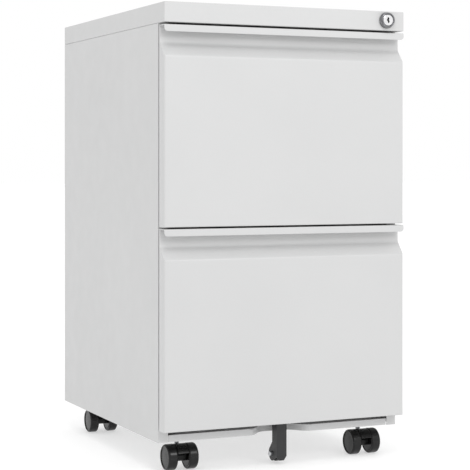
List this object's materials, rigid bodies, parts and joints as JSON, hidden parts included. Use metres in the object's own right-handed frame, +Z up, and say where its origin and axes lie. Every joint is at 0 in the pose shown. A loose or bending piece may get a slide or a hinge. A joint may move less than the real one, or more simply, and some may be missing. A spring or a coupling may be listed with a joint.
{
  "type": "mobile filing pedestal",
  "caption": "White sheet-steel filing cabinet with stacked file drawers, full-width finger pulls, a key lock in the cap, twin-wheel swivel casters and an anti-tip wheel.",
  "frame": {"origin": "on the floor under the middle of the whole cabinet", "axes": "+Z up, +X to the right seen from the front, +Y from the drawer fronts to the back"},
  "size_m": [0.38, 0.454, 0.658],
  "materials": {
    "white_powder_coat": "satin white powder coat with a fine orange peel",
    "zinc_plate": "zinc-plated steel, semi-bright",
    "chrome": "bright chrome plate",
    "black_paint": "satin black paint",
    "black_nylon": "moulded black nylon, semi-gloss on the treads"
  },
  "bodies": {
    "cabinet": {"side_panel_left": "white_powder_coat", "side_panel_right": "white_powder_coat", "back_panel": "white_powder_coat", "top_cap": "white_powder_coat", "base_front_rail": "white_powder_coat", "base_pan": "white_powder_coat", "slide_post_front_left": "white_powder_coat", "slide_post_front_right": "white_powder_coat", "slide_post_rear_left": "white_powder_coat", "slide_post_rear_right": "white_powder_coat", "lock_housing": "chrome", "lower_slide_outer_left": "zinc_plate", "lower_slide_outer_right": "zinc_plate", "upper_slide_outer_left": "zinc_plate", "upper_slide_outer_right": "zinc_plate", "caster_front_left_stem": "zinc_plate", "caster_front_right_stem": "zinc_plate", "caster_rear_left_stem": "zinc_plate", "caster_rear_right_stem": "zinc_plate"},
    "lower_drawer": {"lower_drawer_front": "white_powder_coat", "lower_drawer_liner": "white_powder_coat", "lower_drawer_tray": "white_powder_coat", "lower_file_bar": "zinc_plate", "lower_lock_catch": "zinc_plate", "lower_slide_inner_left": "zinc_plate", "lower_slide_inner_right": "zinc_plate", "anti_tip_bracket": "black_paint", "anti_tip_axle": "zinc_plate"},
    "lower_slide_middles": {"lower_slide_middle_left": "zinc_plate", "lower_slide_middle_right": "zinc_plate"},
    "upper_drawer": {"upper_drawer_front": "white_powder_coat", "upper_drawer_liner": "white_powder_coat", "upper_drawer_tray": "white_powder_coat", "upper_file_bar": "zinc_plate", "upper_lock_catch": "zinc_plate", "upper_slide_inner_left": "zinc_plate", "upper_slide_inner_right": "zinc_plate"},
    "upper_slide_middles": {"upper_slide_middle_left": "zinc_plate", "upper_slide_middle_right": "zinc_plate"},
    "lock_plug": {"lock_plug": "chrome", "lock_cam": "zinc_plate"},
    "lock_bar": {"lock_bar": "zinc_plate"},
    "caster_front_left": {"caster_front_left_hood": "black_nylon", "caster_front_left_axle": "zinc_plate"},
    "caster_front_left_wheel_left": {"caster_front_left_wheel_left": "black_nylon"},
    "caster_front_left_wheel_right": {"caster_front_left_wheel_right": "black_nylon"},
    "caster_front_right": {"caster_front_right_hood": "black_nylon", "caster_front_right_axle": "zinc_plate"},
    "caster_front_right_wheel_left": {"caster_front_right_wheel_left": "black_nylon"},
    "caster_front_right_wheel_right": {"caster_front_right_wheel_right": "black_nylon"},
    "caster_rear_left": {"caster_rear_left_hood": "black_nylon", "caster_rear_left_axle": "zinc_plate"},
    "caster_rear_left_wheel_left": {"caster_rear_left_wheel_left": "black_nylon"},
    "caster_rear_left_wheel_right": {"caster_rear_left_wheel_right": "black_nylon"},
    "caster_rear_right": {"caster_rear_right_hood": "black_nylon", "caster_rear_right_axle": "zinc_plate"},
    "caster_rear_right_wheel_left": {"caster_rear_right_wheel_left": "black_nylon"},
    "caster_rear_right_wheel_right": {"caster_rear_right_wheel_right": "black_nylon"},
    "anti_tip_wheel": {"anti_tip_wheel": "black_nylon"}
  },
  "joints": [
    {"name": "lower_drawer_slide", "type": "slide", "parent": "cabinet", "child": "lower_drawer", "axis": [0, -1, 0], "range_m": [0, 0.38]},
    {"name": "lower_middles_slide", "type": "slide", "parent": "cabinet", "child": "lower_slide_middles", "axis": [0, -1, 0], "range_m": [0, 0.19]},
    {"name": "upper_drawer_slide", "type": "slide", "parent": "cabinet", "child": "upper_drawer", "axis": [0, -1, 0], "range_m": [0, 0.38]},
    {"name": "upper_middles_slide", "type": "slide", "parent": "cabinet", "child": "upper_slide_middles", "axis": [0, -1, 0], "range_m": [0, 0.19]},
    {"name": "lock_bar_slide", "type": "slide", "parent": "cabinet", "child": "lock_bar", "axis": [0, 0, -1], "range_m": [0, 0.01273]},
    {"name": "key_turn", "type": "hinge", "parent": "cabinet", "child": "lock_plug", "pos_m": [0.1605, -0.212, 0.6445], "axis": [0, 1, 0], "range_deg": [0, 90]},
    {"name": "caster_front_left_swivel", "type": "hinge", "parent": "cabinet", "child": "caster_front_left", "pos_m": [-0.147, -0.157, 0.03], "axis": [0, 0, 1], "continuous": true},
    {"name": "caster_front_left_wheel_left_spin", "type": "hinge", "parent": "caster_front_left", "child": "caster_front_left_wheel_left", "pos_m": [-0.163, -0.169, 0.0185], "axis": [1, 0, 0], "continuous": true},
    {"name": "caster_front_left_wheel_right_spin", "type": "hinge", "parent": "caster_front_left", "child": "caster_front_left_wheel_right", "pos_m": [-0.131, -0.169, 0.0185], "axis": [1, 0, 0], "continuous": true},
    {"name": "caster_front_right_swivel", "type": "hinge", "parent": "cabinet", "child": "caster_front_right", "pos_m": [0.147, -0.157, 0.03], "axis": [0, 0, 1], "continuous": true},
    {"name": "caster_front_right_wheel_left_spin", "type": "hinge", "parent": "caster_front_right", "child": "caster_front_right_wheel_left", "pos_m": [0.131, -0.169, 0.0185], "axis": [1, 0, 0], "continuous": true},
    {"name": "caster_front_right_wheel_right_spin", "type": "hinge", "parent": "caster_front_right", "child": "caster_front_right_wheel_right", "pos_m": [0.163, -0.169, 0.0185], "axis": [1, 0, 0], "continuous": true},
    {"name": "caster_rear_left_swivel", "type": "hinge", "parent": "cabinet", "child": "caster_rear_left", "pos_m": [-0.147, 0.182, 0.03], "axis": [0, 0, 1], "continuous": true},
    {"name": "caster_rear_left_wheel_left_spin", "type": "hinge", "parent": "caster_rear_left", "child": "caster_rear_left_wheel_left", "pos_m": [-0.163, 0.17, 0.0185], "axis": [1, 0, 0], "continuous": true},
    {"name": "caster_rear_left_wheel_right_spin", "type": "hinge", "parent": "caster_rear_left", "child": "caster_rear_left_wheel_right", "pos_m": [-0.131, 0.17, 0.0185], "axis": [1, 0, 0], "continuous": true},
    {"name": "caster_rear_right_swivel", "type": "hinge", "parent": "cabinet", "child": "caster_rear_right", "pos_m": [0.147, 0.182, 0.03], "axis": [0, 0, 1], "continuous": true},
    {"name": "caster_rear_right_wheel_left_spin", "type": "hinge", "parent": "caster_rear_right", "child": "caster_rear_right_wheel_left", "pos_m": [0.131, 0.17, 0.0185], "axis": [1, 0, 0], "continuous": true},
    {"name": "caster_rear_right_wheel_right_spin", "type": "hinge", "parent": "caster_rear_right", "child": "caster_rear_right_wheel_right", "pos_m": [0.163, 0.17, 0.0185], "axis": [1, 0, 0], "continuous": true},
    {"name": "anti_tip_wheel_spin", "type": "hinge", "parent": "lower_drawer", "child": "anti_tip_wheel", "pos_m": [0, -0.182, 0.0141], "axis": [1, 0, 0], "continuous": true}
  ],
  "couplings": [
    {"joint": "lower_middles_slide", "follows": "lower_drawer_slide", "ratio": 0.5},
    {"joint": "upper_middles_slide", "follows": "upper_drawer_slide", "ratio": 0.5},
    {"joint": "key_turn", "follows": "lock_bar_slide", "rad_per_m": 123.4}
  ]
}
